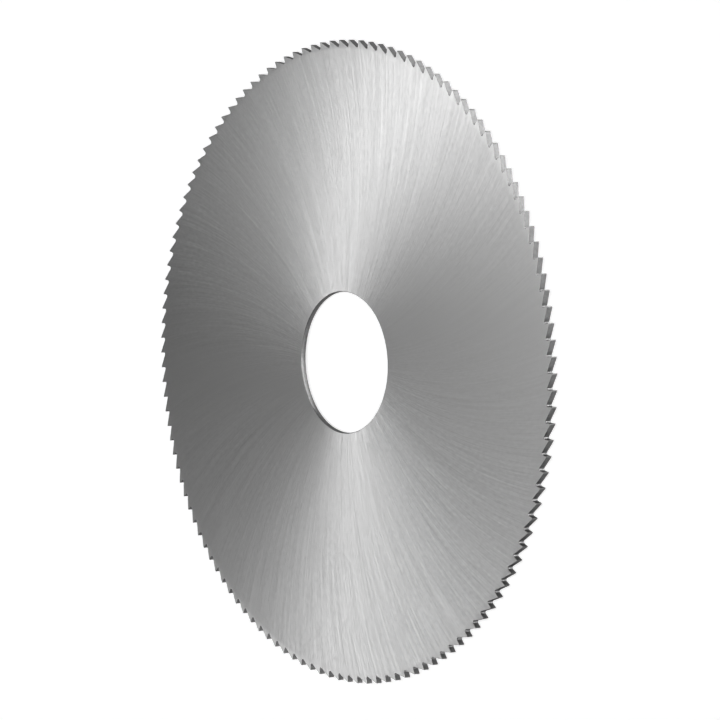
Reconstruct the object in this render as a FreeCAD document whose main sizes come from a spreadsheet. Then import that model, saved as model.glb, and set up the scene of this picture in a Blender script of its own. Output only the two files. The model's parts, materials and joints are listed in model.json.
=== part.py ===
import FreeCAD, Part
import math
import os

import Sketcher

# Slitting saw: one flat, hollow-ground steel disc with a plain bore and a ring of fine teeth.
# It lies on its lower side. The origin is the centre of the bore on the plane it lies on, +Z is
# the saw's axis, and one tooth tip lies on +X. Seen from +Z the teeth point counter-clockwise.

NODE = "saw_blade"

# The driving sizes, in millimetres and degrees.
SIZES = {
    "outer_diameter": 100.0,  # over the tooth tips
    "bore_diameter": 22.0,
    "rim_thickness": 1.0,  # width of cut
    "rim_land": 1.3,  # full-thickness band at the rim, measured in from the tips
    "hollow_depth": 0.075,  # ground off each side between the rim land and the clamping seat
    "seat_diameter": 34.0,  # parallel seat for the clamping flanges
    "edge_break": 0.1,  # chamfer at both mouths of the bore
    "tooth_count": 128,
    "rake_angle": 5.0,  # hook of the cutting face, from the radius through the tip
    "back_angle": 30.0,  # fall of the tooth's back, from the rim's tangent
    "tip_land": 0.15,  # strip of the rim's cylinder left behind each cutting edge
    "gullet_radius": 0.27,
    "cutter_overrun": 0.5,  # how far the outline of a tooth gap runs past the rim
}

OUTER_RADIUS = "Sizes.outer_diameter / 2"
BORE_RADIUS = "Sizes.bore_diameter / 2"
RIM_HALF = "Sizes.rim_thickness / 2"
SEAT_HALF = "Sizes.rim_thickness / 2 - Sizes.hollow_depth"
TOOTH_PITCH = "360 deg / Sizes.tooth_count"
HEEL_ANGLE = "360 deg / Sizes.tooth_count - Sizes.tip_land / (Sizes.outer_diameter / 2) * 1 rad"

START = 1
END = 2
ORIGIN = (-1, 1)
X_AXIS = -1


def make_sheet(doc):
    """Write the driving sizes into a sheet, one named cell each."""
    sheet = doc.addObject("Spreadsheet::Sheet", "Sizes")
    for row, (name, value) in enumerate(SIZES.items(), start=1):
        sheet.set(f"A{row}", name.replace("_", " "))
        sheet.set(f"B{row}", str(value))
        sheet.setAlias(f"B{row}", name)
    doc.recompute()
    return sheet


def value_of(sheet, expression):
    """The plain number that an expression on the sheet gives."""
    return float(sheet.evalExpression(expression))


def origin_feature(body, role):
    """A base plane or axis of the body, found by its role."""
    return next(feature for feature in body.Origin.OriginFeatures if feature.Role == role)


def new_sketch(body, name, plane):
    """An empty sketch on one of the body's base planes."""
    sketch = body.newObject("Sketcher::SketchObject", name)
    sketch.AttachmentSupport = [(origin_feature(body, plane), "")]
    sketch.MapMode = "FlatFace"
    return sketch


def bind(sketch, name, constraint, expression, unit="mm"):
    """Add a named dimension to a sketch and tie it to an expression on the sheet."""
    index = sketch.addConstraint(constraint)
    sketch.renameConstraint(index, name)
    sketch.setExpression(f"Constraints.{name}", f"({expression}) * 1 {unit}")


def place_point(sketch, sheet, name, geometry, position, across, up):
    """Hold a point of a sketch at the coordinates that two expressions give."""
    x_start = Sketcher.Constraint("DistanceX", *ORIGIN, geometry, position, value_of(sheet, across))
    bind(sketch, f"{name}_x", x_start, across)
    y_start = Sketcher.Constraint("DistanceY", *ORIGIN, geometry, position, value_of(sheet, up))
    bind(sketch, f"{name}_y", y_start, up)


def draw_section(body, sheet):
    """Half section of the disc, the same above and below its middle plane."""
    corners = {
        "bore_wall": (BORE_RADIUS, f"{SEAT_HALF} - Sizes.edge_break"),
        "seat_inner": (f"{BORE_RADIUS} + Sizes.edge_break", SEAT_HALF),
        "seat_outer": ("Sizes.seat_diameter / 2", SEAT_HALF),
        "land_inner": (f"{OUTER_RADIUS} - Sizes.rim_land", RIM_HALF),
        "rim": (OUTER_RADIUS, RIM_HALF),
    }
    sketch = new_sketch(body, "SectionSketch", "XZ_Plane")
    upper = [FreeCAD.Vector(value_of(sheet, r), value_of(sheet, z), 0) for r, z in corners.values()]
    lower = [FreeCAD.Vector(point.x, -point.y, 0) for point in reversed(upper)]
    loop = upper + lower
    for start, end in zip(loop, loop[1:] + loop[:1]):
        sketch.addGeometry(Part.LineSegment(start, end), False)
    for line in range(len(loop)):
        following = (line + 1) % len(loop)
        sketch.addConstraint(Sketcher.Constraint("Coincident", line, END, following, START))
    for line, (name, (radius, height)) in enumerate(corners.items()):
        place_point(sketch, sheet, name, line, START, radius, height)
        mirror_line = len(loop) - 1 - line
        sketch.addConstraint(Sketcher.Constraint("Symmetric", line, START, mirror_line, START, X_AXIS))
    return sketch


def draw_gap(body, sheet):
    """Outline of one tooth gap: cutting face, rounded root and the next tooth's back."""
    radius = value_of(sheet, OUTER_RADIUS)
    outside = value_of(sheet, f"{OUTER_RADIUS} + Sizes.cutter_overrun")
    pitch = 2 * math.pi * radius / value_of(sheet, "Sizes.tooth_count")
    root_radius = value_of(sheet, "Sizes.gullet_radius")
    rake = math.radians(value_of(sheet, "Sizes.rake_angle"))
    back = math.radians(value_of(sheet, "Sizes.back_angle"))
    # Only a start for the solver: the root lies about a third of the pitch inside the rim.
    root = FreeCAD.Vector(radius - pitch / 3, root_radius, 0)
    root_circle = Part.Circle(root, FreeCAD.Vector(0, 0, 1), root_radius)
    root_arc = Part.ArcOfCircle(root_circle, math.pi - back, 3 * math.pi / 2 + rake)
    face_end = FreeCAD.Vector(outside, 0, 0)
    back_end = FreeCAD.Vector(outside, pitch, 0)

    sketch = new_sketch(body, "GapSketch", "XY_Plane")
    arc = sketch.addGeometry(root_arc, False)
    face = sketch.addGeometry(Part.LineSegment(root_arc.EndPoint, face_end), False)
    slope = sketch.addGeometry(Part.LineSegment(root_arc.StartPoint, back_end), False)
    mouth = sketch.addGeometry(Part.LineSegment(face_end, back_end), False)
    tip = sketch.addGeometry(Part.Point(FreeCAD.Vector(radius, 0, 0)), True)
    heel = sketch.addGeometry(Part.Point(FreeCAD.Vector(radius, pitch, 0)), True)

    sketch.addConstraint(
        [
            Sketcher.Constraint("Tangent", arc, END, face, START),
            Sketcher.Constraint("Tangent", arc, START, slope, START),
            Sketcher.Constraint("Coincident", face, END, mouth, START),
            Sketcher.Constraint("Coincident", slope, END, mouth, END),
            Sketcher.Constraint("Vertical", mouth),
            Sketcher.Constraint("PointOnObject", tip, START, X_AXIS),
            Sketcher.Constraint("PointOnObject", tip, START, face),
            Sketcher.Constraint("PointOnObject", heel, START, slope),
        ]
    )
    bind(sketch, "root_radius", Sketcher.Constraint("Radius", arc, root_radius), "Sizes.gullet_radius")
    tip_distance = Sketcher.Constraint("DistanceX", *ORIGIN, tip, START, radius)
    bind(sketch, "tip_radius", tip_distance, OUTER_RADIUS)
    mouth_distance = Sketcher.Constraint("DistanceX", *ORIGIN, mouth, START, outside)
    bind(sketch, "mouth_x", mouth_distance, f"{OUTER_RADIUS} + Sizes.cutter_overrun")
    place_point(
        sketch,
        sheet,
        "heel",
        heel,
        START,
        f"{OUTER_RADIUS} * cos({HEEL_ANGLE})",
        f"{OUTER_RADIUS} * sin({HEEL_ANGLE})",
    )
    bind(sketch, "rake", Sketcher.Constraint("Angle", face, rake), "Sizes.rake_angle", "deg")
    # The back falls away from the tangent at the next tip, one pitch round from this one.
    slope_angle = "90 - Sizes.back_angle + 360 / Sizes.tooth_count"
    slope_start = math.radians(value_of(sheet, slope_angle))
    bind(sketch, "slope", Sketcher.Constraint("Angle", slope, slope_start), slope_angle, "deg")
    return sketch


def make_blade(doc, sheet):
    """The whole saw: a turned and ground blank with its teeth cut into the rim."""
    body = doc.addObject("PartDesign::Body", "SawBlade")
    body.Label = NODE

    blank = body.newObject("PartDesign::Revolution", "GroundBlank")
    section = draw_section(body, sheet)
    blank.Profile = section
    blank.ReferenceAxis = (section, ["V_Axis"])
    blank.Angle = 360
    doc.recompute()
    blank_volume = blank.Shape.Volume

    gap = body.newObject("PartDesign::Pocket", "ToothGap")
    gap.Profile = draw_gap(body, sheet)
    gap.Type = "ThroughAll"
    gap.SideType = "Symmetric"
    doc.recompute()
    if not gap.Shape.Volume < blank_volume:
        raise RuntimeError("the tooth gap cuts nothing")

    teeth = body.newObject("PartDesign::PolarPattern", "ToothRing")
    teeth.Originals = [gap]
    teeth.Axis = (origin_feature(body, "Z_Axis"), [""])
    teeth.Angle = 360
    teeth.setExpression("Occurrences", "Sizes.tooth_count")
    body.Tip = teeth

    # The disc is drawn about its middle plane and lifted so that its lower side lies on z = 0.
    body.setExpression("Placement.Base.z", RIM_HALF)
    doc.recompute()
    return body


def check(doc, body):
    """Stop if any object failed or the saw is not one closed, valid solid."""
    for item in doc.Objects:
        if "Invalid" in item.State or "Error" in item.State:
            raise RuntimeError(f"{item.Name} failed: {item.State}")
    shape = body.Shape
    if shape.isNull() or not shape.isValid():
        raise RuntimeError(f"{body.Label} has no valid shape")
    if len(shape.Solids) != 1:
        raise RuntimeError(f"{body.Label} has {len(shape.Solids)} solids")


def main():
    """Build the document, check it and write the part's file."""
    doc = FreeCAD.newDocument("SlittingSaw")
    sheet = make_sheet(doc)
    body = make_blade(doc, sheet)
    check(doc, body)
    os.makedirs("parts", exist_ok=True)
    body.Shape.exportStep(os.path.join("parts", f"{body.Label}.step"))
    print(f"{body.Label}: {body.Shape.Volume:.1f} mm3")


main()
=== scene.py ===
"""A slitting saw for its picture: a ground steel disc with milled teeth and a honed bore.

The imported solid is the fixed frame. One new piece stands for it, with the same form: the same bore,
seats, hollow sides and teeth, and besides them the fine breaks that a real saw has at its edges.
"""

import json
import logging
import math
from dataclasses import dataclass
from enum import Enum
from typing import Sequence

import bpy
import numpy as np
from mathutils import Matrix, Vector


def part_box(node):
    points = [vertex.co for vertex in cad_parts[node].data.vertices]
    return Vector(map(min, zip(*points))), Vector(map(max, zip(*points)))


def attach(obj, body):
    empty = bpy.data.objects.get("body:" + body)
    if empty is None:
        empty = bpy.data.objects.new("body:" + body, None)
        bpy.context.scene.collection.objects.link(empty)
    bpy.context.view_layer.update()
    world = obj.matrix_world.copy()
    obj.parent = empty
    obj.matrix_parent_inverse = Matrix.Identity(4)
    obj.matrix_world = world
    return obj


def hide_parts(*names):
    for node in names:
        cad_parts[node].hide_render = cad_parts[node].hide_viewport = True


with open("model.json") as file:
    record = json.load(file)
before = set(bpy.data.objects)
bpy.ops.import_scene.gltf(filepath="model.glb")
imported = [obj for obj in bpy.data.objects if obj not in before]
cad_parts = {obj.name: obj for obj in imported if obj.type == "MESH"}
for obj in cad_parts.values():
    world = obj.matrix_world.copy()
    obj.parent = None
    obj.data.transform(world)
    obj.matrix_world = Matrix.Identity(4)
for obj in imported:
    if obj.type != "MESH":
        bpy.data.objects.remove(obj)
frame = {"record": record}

LOG = logging.getLogger("slitting_saw")
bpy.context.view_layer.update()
MM = 0.001  # metres in a millimetre
NODE = "saw_blade"


class Surface(Enum):
    """The finishes on the saw, each with its place in the list of material slots."""

    SIDE = 0
    RIM_LAND = 1
    TOOTH_WALL = 2
    BORE = 3


@dataclass(frozen=True)
class ToothForm:
    """One tooth gap and the tip behind it, repeated round the rim. Lengths are in metres.

    Attributes:
        tip_radius: distance of the cutting edges from the axis.
        count: number of teeth.
        rake: hook of the cutting face from the radius through the tip, in radians.
        back: fall of the back from the rim's tangent, in radians.
        tip_land: strip of the rim's cylinder left behind each cutting edge.
        gullet_radius: rounding of the root.
    """

    tip_radius: float
    count: int = 128
    rake: float = math.radians(5.0)
    back: float = math.radians(30.0)
    tip_land: float = 0.15 * MM
    gullet_radius: float = 0.27 * MM

    RAKE_STEPS = 2
    ROOT_STEPS = 7
    BACK_STEPS = 3

    @property
    def pitch(self) -> float:
        """Angle from one cutting edge to the next."""
        return 2.0 * math.pi / self.count

    def root_centre(self) -> tuple[np.ndarray, np.ndarray, np.ndarray]:
        """Find the circle that rounds the root of the gap after the tooth on +X.

        The centre lies one gullet radius from the cutting face's line and as far from the next
        tooth's back, which is two straight lines, so it is the solution of two linear equations.

        Returns:
            The centre and the unit normals of the cutting face and of the back, into the gap.
        """
        face = np.array([-math.cos(self.rake), -math.sin(self.rake)])
        face_normal = np.array([-math.sin(self.rake), math.cos(self.rake)])
        slope = math.pi / 2 - self.back + self.pitch
        back = np.array([math.cos(slope), math.sin(slope)])
        back_normal = np.array([math.sin(slope), -math.cos(slope)])
        heel_angle = self.pitch - self.tip_land / self.tip_radius
        heel = self.tip_radius * np.array([math.cos(heel_angle), math.sin(heel_angle)])
        tip = np.array([self.tip_radius, 0.0])
        offset = heel - tip + self.gullet_radius * (back_normal - face_normal)
        along_face, _ = np.linalg.solve(np.column_stack([face, -back]), offset)
        centre = tip + along_face * face + self.gullet_radius * face_normal
        return centre, face_normal, back_normal

    def one_gap(self) -> tuple[np.ndarray, np.ndarray]:
        """Trace the outline from the tip on +X to the heel of the next tooth.

        Returns:
            Points of shape (n, 2) and, for each, the unit normal that points out of the steel. At
            the sharp corners the normal is scaled so that an inset keeps its distance from both
            neighbouring faces.
        """
        centre, face_normal, back_normal = self.root_centre()
        tip = np.array([self.tip_radius, 0.0])
        start = math.atan2(-face_normal[1], -face_normal[0]) % (2.0 * math.pi)
        end = math.atan2(-back_normal[1], -back_normal[0])
        turn = np.linspace(start, end, self.ROOT_STEPS + 1)[:, None]
        root_normals = -np.hstack([np.cos(turn), np.sin(turn)])
        root = centre - self.gullet_radius * root_normals
        heel_angle = self.pitch - self.tip_land / self.tip_radius
        heel = self.tip_radius * np.array([math.cos(heel_angle), math.sin(heel_angle)])
        face = tip + (root[0] - tip) * np.linspace(0, 1, self.RAKE_STEPS + 1)[:-1, None]
        back = root[-1] + (heel - root[-1]) * np.linspace(0, 1, self.BACK_STEPS + 1)[1:, None]
        points = np.vstack([face, root, back])
        normals = np.vstack(
            [
                np.repeat(face_normal[None], len(face), axis=0),
                root_normals,
                np.repeat(back_normal[None], len(back), axis=0),
            ]
        )
        normals[0] = mitre(face_normal, np.array([1.0, 0.0]))
        normals[-1] = mitre(back_normal, heel / self.tip_radius)
        return points, normals

    def outline(self) -> tuple[np.ndarray, np.ndarray]:
        """Turn the one gap round the axis, once for each tooth.

        Returns:
            Points of shape (n, 2), counter-clockwise from the tip on +X, and their outward normals.
        """
        points, normals = self.one_gap()
        angles = self.pitch * np.arange(self.count)
        turns = np.stack(
            [np.cos(angles), np.sin(angles), -np.sin(angles), np.cos(angles)], axis=1
        ).reshape(-1, 2, 2)
        return (points @ turns).reshape(-1, 2), (normals @ turns).reshape(-1, 2)


def mitre(one: np.ndarray, other: np.ndarray) -> np.ndarray:
    """Join the normals of two faces at their common corner.

    The sum of two unit normals, divided by one plus their cosine, moves the corner by one unit away
    from both faces at once.

    Args:
        one: unit normal of the face before the corner.
        other: unit normal of the face after it.

    Returns:
        The joined normal, longer than one.
    """
    return (one + other) / (1.0 + float(one @ other))


@dataclass(frozen=True)
class Row:
    """One row of the disc's skin: a closed ring of vertices at one height.

    Attributes:
        height: distance from the disc's middle plane.
        radius: radius of a round ring, or None for a ring that follows the teeth.
        inset: how far a toothed ring is drawn in from the outline.
        surface: finish of the strip that leads from this ring to the next.
    """

    height: float
    surface: Surface
    radius: float | None = None
    inset: float = 0.0


@dataclass(frozen=True)
class Disc:
    """The whole saw as one closed skin. Lengths are in metres.

    Attributes:
        tip_radius: over the cutting edges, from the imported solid.
        thickness: over the rim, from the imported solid.
        bore_radius: from the record's mount for the arbor.
        rim_land: full-thickness band, measured in from the tips.
        hollow_depth: ground off each side between the land and the seat.
        seat_radius: outside of the parallel seat for the flanges.
        edge_break: chamfer at both mouths of the bore.
        burr_break: fine break along every edge of the teeth.
    """

    tip_radius: float
    thickness: float
    bore_radius: float
    rim_land: float = 1.3 * MM
    hollow_depth: float = 0.075 * MM
    seat_radius: float = 17.0 * MM
    edge_break: float = 0.1 * MM
    burr_break: float = 0.02 * MM

    SEAT_STEPS = 2
    HOLLOW_STEPS = 7
    SMOOTH_LIMIT = math.radians(20.0)

    def upper_rows(self) -> list[Row]:
        """List the rings from the middle of the bore, over the upper side, to the tooth walls.

        The radii of the seat and of the hollow part go up in equal steps, and the hollow part's
        height goes up with the radius in a straight line, which is a shallow cone.

        Returns:
            The rows in order, from the bore out.
        """
        half = self.thickness / 2
        seat = half - self.hollow_depth
        mouth = self.bore_radius + self.edge_break
        land = self.tip_radius - self.rim_land
        rows = [
            Row(0.0, Surface.BORE, radius=self.bore_radius),
            Row(seat - self.edge_break, Surface.BORE, radius=self.bore_radius),
        ]
        for radius in np.linspace(mouth, self.seat_radius, self.SEAT_STEPS + 1)[:-1]:
            rows.append(Row(seat, Surface.SIDE, radius=float(radius)))
        for share in np.linspace(0, 1, self.HOLLOW_STEPS + 1)[:-1]:
            radius = self.seat_radius + share * (land - self.seat_radius)
            rows.append(Row(seat + share * self.hollow_depth, Surface.SIDE, radius=radius))
        rows.append(Row(half, Surface.RIM_LAND, radius=land))
        rows.append(Row(half, Surface.TOOTH_WALL, inset=self.burr_break))
        rows.append(Row(half - self.burr_break, Surface.TOOTH_WALL))
        return rows

    def rows(self) -> list[Row]:
        """List all rings once round the section, the lower side a mirror of the upper."""
        upper = self.upper_rows()
        lower = [
            Row(-row.height, before.surface, radius=row.radius, inset=row.inset)
            for before, row in zip(upper[-2::-1], upper[:0:-1])
        ]
        middle = Row(0.0, Surface.TOOTH_WALL)
        return upper + [middle] + lower

    def build(self) -> bpy.types.Object:
        """Work out the skin's grid and put it into a mesh.

        A round ring's vertex stands at the angle that its neighbour on the toothed outline has come
        to by the way walked along that outline, so the strip between them never folds over itself.

        Returns:
            The saw's object, at the origin, with one material slot for each finish still empty.
        """
        form = ToothForm(self.tip_radius)
        outline, normals = form.outline()
        steps = np.linalg.norm(np.roll(outline, -1, axis=0) - outline, axis=1)
        walked = np.concatenate([[0.0], np.cumsum(steps)[:-1]]) / steps.sum()
        lag = self.angle_lag(form, outline, walked)
        angles = 2.0 * math.pi * walked - lag
        circle = np.stack([np.cos(angles), np.sin(angles)], axis=1)
        rows = self.rows()
        rings = []
        for row in rows:
            flat = outline - row.inset * normals if row.radius is None else row.radius * circle
            height = np.full((len(flat), 1), self.thickness / 2 + row.height)
            rings.append(np.hstack([flat, height]))
        vertices = np.stack(rings)
        surfaces = np.array([row.surface.value for row in rows])
        return skin("saw_steel", vertices, surfaces, self.SMOOTH_LIMIT)

    @staticmethod
    def angle_lag(form: ToothForm, outline: np.ndarray, walked: np.ndarray) -> float:
        """Match the round rings to the teeth at the middle of a root.

        Args:
            form: the tooth form, for the number of steps before the root's middle.
            outline: points of the toothed outline.
            walked: share of the outline walked to each point.

        Returns:
            The angle by which the walked share runs ahead of the real angle at that root.
        """
        middle = form.RAKE_STEPS + form.ROOT_STEPS // 2
        real = math.atan2(outline[middle, 1], outline[middle, 0])
        return 2.0 * math.pi * float(walked[middle]) - real


def skin(name: str, vertices: np.ndarray, surfaces: np.ndarray, limit: float) -> bpy.types.Object:
    """Close a grid of vertices in both directions and make it an object.

    Vertex (i, j) is joined to (i + 1, j + 1) by a four-sided face, counted modulo the number of
    rings and of vertices in a ring, so the skin is a closed torus with no seam.

    Args:
        name: name of the mesh and of the object.
        vertices: array of shape (rings, points, 3).
        surfaces: material slot of the strip after each ring.
        limit: faces that meet at more than this angle keep a sharp edge, in radians.

    Returns:
        The object, linked to the scene.
    """
    rings, points, _ = vertices.shape
    index = np.arange(rings * points).reshape(rings, points)
    right = np.roll(index, -1, axis=1)
    corners = np.stack([index, right, np.roll(right, -1, axis=0), np.roll(index, -1, axis=0)])
    faces = corners[::-1].reshape(4, -1).T
    mesh = bpy.data.meshes.new(name)
    mesh.from_pydata(vertices.reshape(-1, 3), [], faces)
    for _ in Surface:
        mesh.materials.append(None)
    mesh.polygons.foreach_set("material_index", np.repeat(surfaces, points).astype(np.int32))
    mesh.polygons.foreach_set("use_smooth", np.ones(len(faces), dtype=bool))
    mesh.update()
    mesh.set_sharp_from_angle(angle=limit)
    piece = bpy.data.objects.new(name, mesh)
    bpy.context.scene.collection.objects.link(piece)
    return piece


class Nodes:
    """A material's node tree with short calls for the kinds of node used here."""

    def __init__(self, name: str) -> None:
        """Start an empty tree in a new material of this name."""
        self.material = bpy.data.materials.new(name)
        self.material.use_nodes = True
        self.tree = self.material.node_tree
        self.tree.nodes.clear()

    def add(self, kind: str, **settings: object) -> bpy.types.Node:
        """Add one node.

        Args:
            kind: the node's type, without the leading "ShaderNode".
            settings: attributes of the node to set.

        Returns:
            The new node.
        """
        node = self.tree.nodes.new("ShaderNode" + kind)
        for key, value in settings.items():
            setattr(node, key, value)
        return node

    def feed(self, socket: bpy.types.NodeSocket, value: object) -> None:
        """Link an output into a socket, or set the socket to a plain value."""
        if isinstance(value, bpy.types.NodeSocket):
            self.tree.links.new(value, socket)
        else:
            socket.default_value = value

    def maths(self, operation: str, *values: object) -> bpy.types.NodeSocket:
        """Work out one sum on numbers.

        Args:
            operation: name of the operation, such as "MULTIPLY".
            values: the inputs in order, each a number or an output.

        Returns:
            The result's output.
        """
        node = self.add("Math", operation=operation)
        for socket, value in zip(node.inputs, values):
            self.feed(socket, value)
        return node.outputs[0]

    def vector(self, operation: str, *values: object) -> bpy.types.NodeSocket:
        """Work out one sum on vectors.

        Args:
            operation: name of the operation, such as "ADD". SCALE takes a vector and a number.
            values: the inputs in order, each a triple, a number or an output.

        Returns:
            The result's output, a number for LENGTH and a vector otherwise.
        """
        node = self.add("VectorMath", operation=operation)
        sockets = [node.inputs[0], node.inputs["Scale"]] if operation == "SCALE" else node.inputs
        for socket, value in zip(sockets, values):
            self.feed(socket, value)
        return node.outputs["Value" if operation == "LENGTH" else "Vector"]

    def noise(self, where: object, scale: float, detail: float = 2.0) -> bpy.types.NodeSocket:
        """Read a noise pattern whose mean is a half.

        Args:
            where: the point to read it at.
            scale: features per unit of that point.
            detail: number of finer octaves added.

        Returns:
            The pattern's value, from nought to one.
        """
        node = self.add("TexNoise", noise_dimensions="3D")
        self.feed(node.inputs["Vector"], where)
        node.inputs["Scale"].default_value = scale
        node.inputs["Detail"].default_value = detail
        node.inputs["Roughness"].default_value = 0.6
        return node.outputs["Fac"]

    def spread(self, value: object, low: float, high: float) -> bpy.types.NodeSocket:
        """Stretch the middle of a noise pattern, 0.3 to 0.7, over a range.

        Args:
            value: the pattern.
            low: result where the pattern is 0.3.
            high: result where it is 0.7.

        Returns:
            The stretched pattern, not held inside the range.
        """
        node = self.add("MapRange", clamp=False)
        for key, given in {"Value": value, "From Min": 0.3, "From Max": 0.7}.items():
            self.feed(node.inputs[key], given)
        node.inputs["To Min"].default_value = low
        node.inputs["To Max"].default_value = high
        return node.outputs["Result"]

    def finish(self, shader: bpy.types.Node) -> bpy.types.Material:
        """Lead a shader to the material's surface and hand the material back."""
        output = self.add("OutputMaterial")
        self.tree.links.new(shader.outputs[0], output.inputs["Surface"])
        return self.material


@dataclass(frozen=True)
class WheelArcs:
    """The arcs that a grinding wheel leaves while the saw turns slowly under it.

    Every arc is part of a circle as large as the wheel, with its centre at one distance from the
    saw's axis. All arcs are the same one, turned.

    Attributes:
        wheel_radius: radius of the wheel's rim.
        centre_distance: from the saw's axis to the wheel's.
    """

    wheel_radius: float = 80.0 * MM
    centre_distance: float = 81.5 * MM

    def trace(self, nodes: Nodes) -> tuple[bpy.types.NodeSocket, ...]:
        """Find the arc through each point.

        The triangle of the saw's axis, the point and the wheel's centre has three known sides, so
        the law of cosines gives the angle between the point and that centre.

        Args:
            nodes: the tree to add to.

        Returns:
            Unit vector towards the wheel's centre, which is the same all along one arc, the
            point's radius, and the direction across the arc.
        """
        place = nodes.add("TexCoord").outputs["Object"]
        flat = nodes.vector("MULTIPLY", place, (1.0, 1.0, 0.0))
        radius = nodes.vector("LENGTH", flat)
        outward = nodes.vector("NORMALIZE", flat)
        round_way = nodes.vector("CROSS_PRODUCT", (0.0, 0.0, 1.0), outward)
        fixed = self.centre_distance**2 - self.wheel_radius**2
        square = nodes.maths("MULTIPLY_ADD", radius, radius, fixed)
        cosine = nodes.maths("DIVIDE", square, nodes.maths("MULTIPLY", radius, 2.0 * self.centre_distance))
        sine = nodes.maths("SQRT", nodes.maths("SUBTRACT", 1.0, nodes.maths("MULTIPLY", cosine, cosine)))
        family = nodes.vector(
            "ADD", nodes.vector("SCALE", outward, cosine), nodes.vector("SCALE", round_way, sine)
        )
        centre = nodes.vector("SCALE", family, self.centre_distance)
        across = nodes.vector("NORMALIZE", nodes.vector("SUBTRACT", flat, centre))
        return family, radius, across


@dataclass(frozen=True)
class Lobe:
    """How wide a ground surface spreads a reflection, along its lines and across them.

    Attributes:
        along: spread along the lines, as the square of a roughness.
        across: spread across the lines, the larger one.
    """

    along: float
    across: float

    @property
    def roughness(self) -> float:
        """The shader's one roughness, from the geometric mean of the two spreads."""
        return (self.along * self.across) ** 0.25

    @property
    def anisotropy(self) -> float:
        """The shader's ratio setting, where the ratio of the spreads is one less 0.9 times it."""
        return (1.0 - self.along / self.across) / 0.9


@dataclass(frozen=True)
class Streaks:
    """Grinding streaks of one fineness, drawn out along the wheel's arcs.

    Attributes:
        count: streaks round the whole saw.
        length: length of a streak, in metres.
        tilt: how far they tilt the surface across the lines, as a standard deviation in degrees.
    """

    count: float
    length: float
    tilt: float

    NOISE_SPREAD = 0.1  # standard deviation of a noise pattern with no finer octaves

    def pattern(
        self, nodes: Nodes, family: bpy.types.NodeSocket, radius: bpy.types.NodeSocket
    ) -> bpy.types.NodeSocket:
        """Read the streaks' noise.

        The pattern is read on a cylinder: its height is the radius on the saw, and the way round it
        is the turn of the arc, so there is no seam and each streak follows one arc.

        Args:
            nodes: the tree to add to.
            family: unit vector of the arc.
            radius: radius of the point.

        Returns:
            The pattern, with a mean of nought and a standard deviation of one.
        """
        around = nodes.vector("SCALE", family, self.count / (2.0 * math.pi))
        rise = nodes.add("CombineXYZ")
        nodes.feed(rise.inputs["Z"], nodes.maths("DIVIDE", radius, self.length))
        where = nodes.vector("ADD", around, rise.outputs[0])
        centred = nodes.maths("SUBTRACT", nodes.noise(where, 1.0, detail=0.0), 0.5)
        return nodes.maths("DIVIDE", centred, self.NOISE_SPREAD)


@dataclass(frozen=True)
class FeedLines:
    """Fine lines at nearly even steps, from the turning of the saw under the wheel.

    Attributes:
        count: whole number of lines round the saw.
        tilt: how far they tilt the surface across the lines, as a standard deviation in degrees.
        drift: how far the lines stray from even steps, as a standard deviation in radians of phase.
        drift_streaks: the slow pattern that they stray by.
    """

    count: int
    tilt: float
    drift: float = 2.5
    drift_streaks: Streaks = Streaks(70, 24 * MM, 0.0)

    def pattern(
        self, nodes: Nodes, family: bpy.types.NodeSocket, radius: bpy.types.NodeSocket
    ) -> bpy.types.NodeSocket:
        """Read the lines' wave, the sine of the arc's angle times the count, plus the drift.

        Args:
            nodes: the tree to add to.
            family: unit vector of the arc.
            radius: radius of the point.

        Returns:
            The pattern, with a mean of nought and a standard deviation of one.
        """
        parts = nodes.add("SeparateXYZ")
        nodes.feed(parts.inputs[0], family)
        angle = nodes.maths("ARCTAN2", parts.outputs["Y"], parts.outputs["X"])
        stray = nodes.maths("MULTIPLY", self.drift_streaks.pattern(nodes, family, radius), self.drift)
        wave = nodes.maths("SINE", nodes.maths("MULTIPLY_ADD", angle, float(self.count), stray))
        return nodes.maths("MULTIPLY", wave, math.sqrt(2.0))


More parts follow.
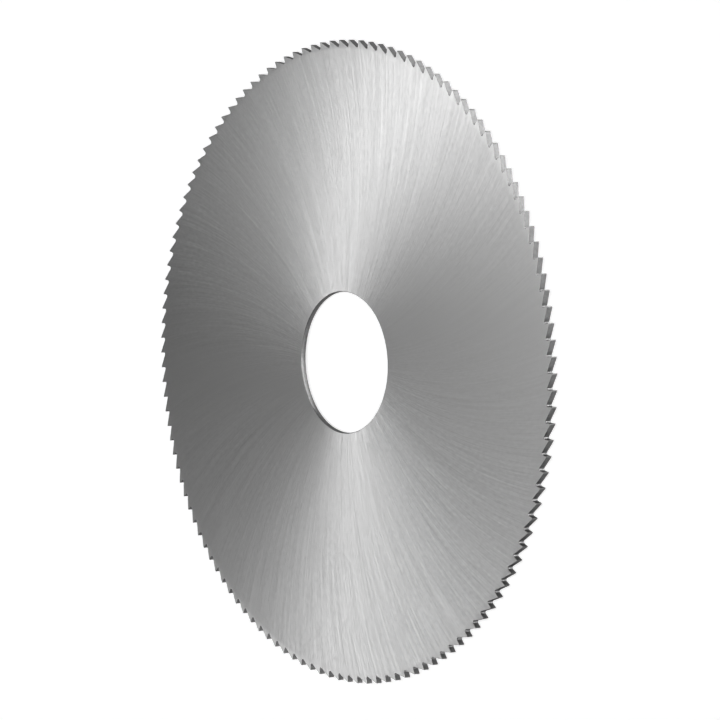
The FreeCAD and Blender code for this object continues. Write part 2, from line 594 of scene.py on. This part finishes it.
@dataclass(frozen=True)
class GroundFinish:
    """Bright ground side of the disc, with streaks that follow the wheel's arcs.

    Attributes:
        name: name of the material.
        tone: reflectance of the clean steel.
        lobe: spread of its reflections, along the lines and across them.
        streaks: the streaks that tilt the surface, from the broad to the fine.
        crowding: how many times its own tilt each one gains at the bore, where the arcs crowd together.
        crowded_radius: radius at which the crowding is full, which is that of the bore.
        stain: streaks that change its tone, their tilt left out.
        stain_tone: share by which they change it, as a standard deviation.
        spread_change: how much they change the roughness.
        extra_turn: turn of the lines away from the wheel's arc, as the tangent of the angle.
        arcs: the lines' course over the disc.
    """

    name: str = "ground_side"
    tone: float = 0.56
    lobe: Lobe = Lobe(along=0.12, across=0.35)
    streaks: tuple[Streaks | FeedLines, ...] = (
        Streaks(60, 36 * MM, 0.05),
        Streaks(140, 34 * MM, 0.08),
        Streaks(300, 30 * MM, 0.12),
        Streaks(620, 26 * MM, 0.36),
        Streaks(1100, 22 * MM, 0.52),
        Streaks(1900, 18 * MM, 0.55),
        Streaks(700, 0.8 * MM, 0.66),
        Streaks(3300, 6 * MM, 0.90),
        FeedLines(241, 0.16),
        FeedLines(318, 0.25),
        FeedLines(397, 0.42, drift_streaks=Streaks(90, 18 * MM, 0.0)),
    )
    crowding: float = 2.0
    crowded_radius: float = 11.0 * MM
    stain: Streaks = Streaks(340, 12 * MM, 0.0)
    stain_tone: float = 0.006
    spread_change: float = 0.002
    extra_turn: float = 0.0
    arcs: WheelArcs = WheelArcs()

    def tilted(
        self,
        nodes: Nodes,
        family: bpy.types.NodeSocket,
        radius: bpy.types.NodeSocket,
        across: bpy.types.NodeSocket,
    ) -> bpy.types.NodeSocket:
        """Tilt the surface's normal by the sum of all streaks.

        The sum is multiplied by 1 + crowding * (crowded radius / radius)^4.

        Args:
            nodes: the tree to add to.
            family: unit vector of the arc.
            radius: radius of the point.
            across: direction across the lines.

        Returns:
            The tilted unit normal.
        """
        slope = 0.0
        for streaks in self.streaks:
            share = math.tan(math.radians(streaks.tilt))
            slope = nodes.maths("MULTIPLY_ADD", streaks.pattern(nodes, family, radius), share, slope)
        nearness = nodes.maths("POWER", nodes.maths("DIVIDE", self.crowded_radius, radius), 4.0)
        slope = nodes.maths("MULTIPLY", slope, nodes.maths("MULTIPLY_ADD", nearness, self.crowding, 1.0))
        normal = nodes.add("NewGeometry").outputs["Normal"]
        return nodes.vector("NORMALIZE", nodes.vector("ADD", normal, nodes.vector("SCALE", across, slope)))

    def material(self) -> bpy.types.Material:
        """Build the finish.

        Returns:
            The material.
        """
        nodes = Nodes(self.name)
        family, radius, across = self.arcs.trace(nodes)
        stain = self.stain.pattern(nodes, family, radius)

        shader = nodes.add("BsdfPrincipled")
        shader.inputs["Metallic"].default_value = 1.0
        shader.inputs["Anisotropic"].default_value = self.lobe.anisotropy
        tone = nodes.maths("MULTIPLY_ADD", stain, self.stain_tone * self.tone, self.tone)
        nodes.feed(shader.inputs["Base Color"], tone)
        rough = nodes.maths("MULTIPLY_ADD", stain, self.spread_change, self.lobe.roughness)
        nodes.feed(shader.inputs["Roughness"], rough)
        along = nodes.vector("CROSS_PRODUCT", (0.0, 0.0, 1.0), across)
        turned = nodes.vector("ADD", across, nodes.vector("SCALE", along, self.extra_turn))
        nodes.feed(shader.inputs["Tangent"], nodes.vector("NORMALIZE", turned))
        nodes.feed(shader.inputs["Normal"], self.tilted(nodes, family, radius, across))
        return nodes.finish(shader)


@dataclass(frozen=True)
class WallFinish:
    """Milled or honed wall that stands upright between the two sides, with lines round the saw.

    Attributes:
        name: name of the material.
        tone: reflectance of the steel.
        lobe: spread of its reflections, along the lines and across them.
        line_pitch: distance between the lines.
        line_squeeze: scale of their pattern level round the saw, where 1 would leave spots, not lines.
        line_depth: their height.
        line_spread: how much they change the roughness.
        blotch_size: size of broad patches.
        blotch_tone: share by which the patches change the reflectance.
        edge_tint: reflectance at a glancing angle, as a share of that of clean steel.
    """

    name: str
    tone: float
    lobe: Lobe
    line_pitch: float = 0.06 * MM
    line_squeeze: float = 0.15
    line_depth: float = 0.001 * MM
    line_spread: float = 0.05
    blotch_size: float = 0.5 * MM
    blotch_tone: float = 0.15
    edge_tint: float = 0.3

    def material(self) -> bpy.types.Material:
        """Build the finish.

        Returns:
            The material.
        """
        nodes = Nodes(self.name)
        place = nodes.add("TexCoord").outputs["Object"]
        level = nodes.vector("MULTIPLY", place, (self.line_squeeze, self.line_squeeze, 1.0))
        lines = nodes.noise(level, 1.0 / self.line_pitch)
        blotch = nodes.noise(place, 1.0 / self.blotch_size)

        shader = nodes.add("BsdfPrincipled")
        shader.inputs["Metallic"].default_value = 1.0
        shader.inputs["Anisotropic"].default_value = self.lobe.anisotropy
        shader.inputs["Specular Tint"].default_value = (self.edge_tint,) * 3 + (1.0,)
        change = self.blotch_tone * self.tone
        tone = nodes.spread(blotch, self.tone - change, self.tone + change)
        nodes.feed(shader.inputs["Base Color"], tone)
        base = self.lobe.roughness
        rough = nodes.spread(lines, base - self.line_spread, base + self.line_spread)
        nodes.feed(shader.inputs["Roughness"], rough)
        upright = nodes.add("CombineXYZ")
        upright.inputs["Z"].default_value = 1.0
        nodes.feed(shader.inputs["Tangent"], upright.outputs[0])
        bump = nodes.add("Bump")
        bump.inputs["Strength"].default_value = 1.0
        bump.inputs["Distance"].default_value = self.line_depth
        nodes.feed(bump.inputs["Height"], lines)
        nodes.feed(shader.inputs["Normal"], bump.outputs[0])
        return nodes.finish(shader)


@dataclass(frozen=True)
class Saw:
    """The dressed saw: the disc's skin with its four finishes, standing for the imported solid."""

    disc: Disc
    side: GroundFinish = GroundFinish()
    land: GroundFinish = GroundFinish(name="ground_land", extra_turn=math.tan(math.radians(8.0)))
    wall: WallFinish = WallFinish("milled_tooth", tone=0.22, lobe=Lobe(along=0.15, across=0.70))
    bore: WallFinish = WallFinish("honed_bore", tone=0.22, lobe=Lobe(along=0.05, across=0.60))

    @classmethod
    def from_frame(cls) -> "Saw":
        """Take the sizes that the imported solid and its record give."""
        low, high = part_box(NODE)
        mounts = {mount["name"]: mount for mount in frame["record"]["mounts"]}
        bore_radius = mounts["bore"]["dims"]["r_mm"] * MM
        disc = Disc(tip_radius=(high.x - low.x) / 2, thickness=high.z - low.z, bore_radius=bore_radius)
        return cls(disc)

    def build(self) -> list[bpy.types.Object]:
        """Build and dress the saw and tie it to the frame.

        Returns:
            The saw's pieces.
        """
        piece = self.disc.build()
        finishes = {
            Surface.SIDE: self.side,
            Surface.RIM_LAND: self.land,
            Surface.TOOTH_WALL: self.wall,
            Surface.BORE: self.bore,
        }
        for surface, finish in finishes.items():
            piece.data.materials[surface.value] = finish.material()
        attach(piece, "root")
        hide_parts(NODE)
        return [piece]


@dataclass(frozen=True)
class SoftBox:
    """An even rectangular light that faces the saw. The camera doesn't see the lamp itself.

    Attributes:
        name: name of the light.
        azimuth: direction it stands in, from +X round to +Y, in degrees.
        elevation: its height above the saw's plane, in degrees.
        distance: distance of its middle from the saw's centre, in metres.
        width: its level side, in metres.
        height: its other side, in metres.
        radiance: brightness of its face, where 1 is white.
    """

    name: str
    azimuth: float
    elevation: float
    distance: float
    width: float
    height: float
    radiance: float

    def build(self) -> bpy.types.Object:
        """Place the light.

        A flat light of power P and area A has a face of radiance P / (pi A).

        Returns:
            The light's object.
        """
        light = bpy.data.lights.new(self.name, "AREA")
        light.shape = "RECTANGLE"
        light.size = self.width
        light.size_y = self.height
        light.energy = self.radiance * math.pi * self.width * self.height
        lamp = bpy.data.objects.new(self.name, light)
        turn = Matrix.Rotation(math.radians(90.0 + self.azimuth), 4, "Z")
        tilt = Matrix.Rotation(math.radians(90.0 - self.elevation), 4, "X")
        lamp.matrix_world = turn @ tilt @ Matrix.Translation((0.0, 0.0, self.distance))
        lamp.visible_camera = False
        bpy.context.scene.collection.objects.link(lamp)
        return lamp


@dataclass(frozen=True)
class Studio:
    """The white table, the soft boxes, the dim room and the picture's view settings.

    Attributes:
        boxes: the lights.
        room: brightness of the room round them.
        flat_radius: how far the table is flat, in metres.
        edge_radius: radius of its edge, in metres.
        edge_height: how high it has bent up there, in metres.
        table_tone: reflectance of the table.
        table_glow: what is added under the lamps where the camera or a mirror sees the table, so
            that it shows white. Out of their light the table glows with a full 1.
        lit_part: radii between which the lamps' light on the table falls off, in metres.
    """

    boxes: Sequence[SoftBox]
    room: float = 0.006
    flat_radius: float = 2.0
    edge_radius: float = 3.0
    edge_height: float = 0.45
    table_tone: float = 0.62
    table_glow: float = 0.60
    lit_part: tuple[float, float] = (0.08, 0.45)

    TABLE_SIDES = 96
    BEND_STEPS = 8

    def build(self) -> list[bpy.types.Object]:
        """Set up everything round the saw.

        Returns:
            The table and the lights.
        """
        scene = bpy.context.scene
        scene.view_settings.view_transform = "Standard"
        world = bpy.data.worlds.new("room")
        world.use_nodes = True
        world.node_tree.nodes["Background"].inputs["Color"].default_value = (1.0, 1.0, 1.0, 1.0)
        world.node_tree.nodes["Background"].inputs["Strength"].default_value = self.room
        scene.world = world
        return [self.table(), *(box.build() for box in self.boxes)]

    def table(self) -> bpy.types.Object:
        """Lay the table under the saw.

        Past its flat part the table bends up like a roll of paper, with the square of the way
        gone: height = edge height * share^2, where the share runs from 0 to 1.

        Returns:
            A round table with its top in the plane that the saw lies on.
        """
        share = np.linspace(0.0, 1.0, self.BEND_STEPS + 1)[:, None]
        angle = np.linspace(0.0, 2.0 * math.pi, self.TABLE_SIDES, endpoint=False)
        radius = self.flat_radius + share * (self.edge_radius - self.flat_radius)
        x, y = radius * np.cos(angle), radius * np.sin(angle)
        height = np.broadcast_to(self.edge_height * share**2, x.shape)
        index = np.arange(x.size).reshape(x.shape)
        inner, outer = index[:-1], index[1:]
        corners = [inner, outer, np.roll(outer, -1, axis=1), np.roll(inner, -1, axis=1)]
        bent = np.stack(corners).reshape(4, -1).T
        mesh = bpy.data.meshes.new("table")
        points = np.stack([x, y, height], axis=2).reshape(-1, 3)
        mesh.from_pydata(points, [], [index[0].tolist(), *bent.tolist()])
        mesh.polygons.foreach_set("use_smooth", np.ones(len(bent) + 1, dtype=bool))
        table = bpy.data.objects.new("table", mesh)
        bpy.context.scene.collection.objects.link(table)
        mesh.materials.append(self.table_material())
        return table

    def table_material(self) -> bpy.types.Material:
        """Make the table's white.

        Returns:
            A matt white that also glows for the camera and in reflections. Near the saw the lamps'
            light on it makes up the rest of the white, so the saw's shadow stays.
        """
        nodes = Nodes("white_table")
        matt = nodes.add("BsdfDiffuse")
        matt.inputs["Color"].default_value = (self.table_tone,) * 3 + (1.0,)
        glow = nodes.add("Emission")
        path = nodes.add("LightPath")
        seen = nodes.maths("MAXIMUM", path.outputs["Is Camera Ray"], path.outputs["Is Glossy Ray"])
        seen = nodes.maths("MAXIMUM", seen, path.outputs["Is Transmission Ray"])
        radius = nodes.vector("LENGTH", nodes.add("TexCoord").outputs["Object"])
        lit, unlit = self.lit_part
        far = nodes.add("MapRange", interpolation_type="SMOOTHSTEP")
        nodes.feed(far.inputs["Value"], radius)
        far.inputs["From Min"].default_value = lit
        far.inputs["From Max"].default_value = unlit
        far.inputs["To Min"].default_value = self.table_glow
        far.inputs["To Max"].default_value = 1.0
        nodes.feed(glow.inputs["Strength"], nodes.maths("MULTIPLY", seen, far.outputs["Result"]))
        both = nodes.add("AddShader")
        nodes.feed(both.inputs[0], matt.outputs[0])
        nodes.feed(both.inputs[1], glow.outputs[0])
        return nodes.finish(both)


@dataclass(frozen=True)
class Viewpoint:
    """The camera, at the angle from which the photograph was taken.

    Attributes:
        aim: point of the saw's upper side that is in the middle of the picture, in metres.
        azimuth: direction of the camera from there, in degrees.
        elevation: its height above the saw's plane, in degrees.
        distance: its distance from that point, in metres.
        turn: how far the camera is turned about its own line of sight, in degrees.
        lens: focal length for a 36 mm frame, in millimetres.
    """

    aim: tuple[float, float, float] = (4.27 * MM, 0.30 * MM, 1.0 * MM)
    azimuth: float = 0.872
    elevation: float = 37.378
    distance: float = 582.2 * MM
    turn: float = 93.057
    lens: float = 188.37

    def build(self) -> bpy.types.Object:
        """Place the camera and make it the scene's.

        Returns:
            The camera's object.
        """
        data = bpy.data.cameras.new("view")
        data.lens = self.lens
        data.sensor_width = 36.0
        camera = bpy.data.objects.new("view", data)
        turns = [
            Matrix.Rotation(math.radians(90.0 + self.azimuth), 4, "Z"),
            Matrix.Rotation(math.radians(90.0 - self.elevation), 4, "X"),
            Matrix.Rotation(math.radians(-self.turn), 4, "Z"),
        ]
        camera.matrix_world = (
            Matrix.Translation(Vector(self.aim))
            @ turns[0]
            @ turns[1]
            @ turns[2]
            @ Matrix.Translation((0.0, 0.0, self.distance))
        )
        bpy.context.scene.collection.objects.link(camera)
        bpy.context.scene.camera = camera
        return camera


# The two low ones are thin bars just over the table, which light the teeth from the front.
BOXES = (
    SoftBox(
        "strip_over_left", azimuth=204.4, elevation=56.9, distance=0.456,
        width=0.034, height=0.402, radiance=2.95,
    ),
    SoftBox(
        "strip_over_back", azimuth=164.4, elevation=49.0, distance=0.400,
        width=0.030, height=0.218, radiance=4.15,
    ),
    SoftBox(
        "overhead", azimuth=354.4, elevation=87.3, distance=0.404,
        width=0.226, height=0.672, radiance=2.70,
    ),
    SoftBox(
        "low_front", azimuth=30.3, elevation=1.2, distance=1.43,
        width=2.30, height=0.052, radiance=145.0,
    ),
    SoftBox(
        "low_front_fill", azimuth=340.3, elevation=1.1, distance=1.57,
        width=2.30, height=0.052, radiance=36.0,
    ),
)


def main() -> None:
    """Build the camera, the saw and the studio, and report each piece."""
    logging.basicConfig(level=logging.INFO, format="%(name)s: %(message)s")
    Viewpoint().build()
    for piece in Saw.from_frame().build():
        piece.data.calc_loop_triangles()
        LOG.info("%s has %d triangles", piece.name, len(piece.data.loop_triangles))
    for item in Studio(BOXES).build():
        LOG.info("%s is in place", item.name)


if __name__ == "__main__":
    main()
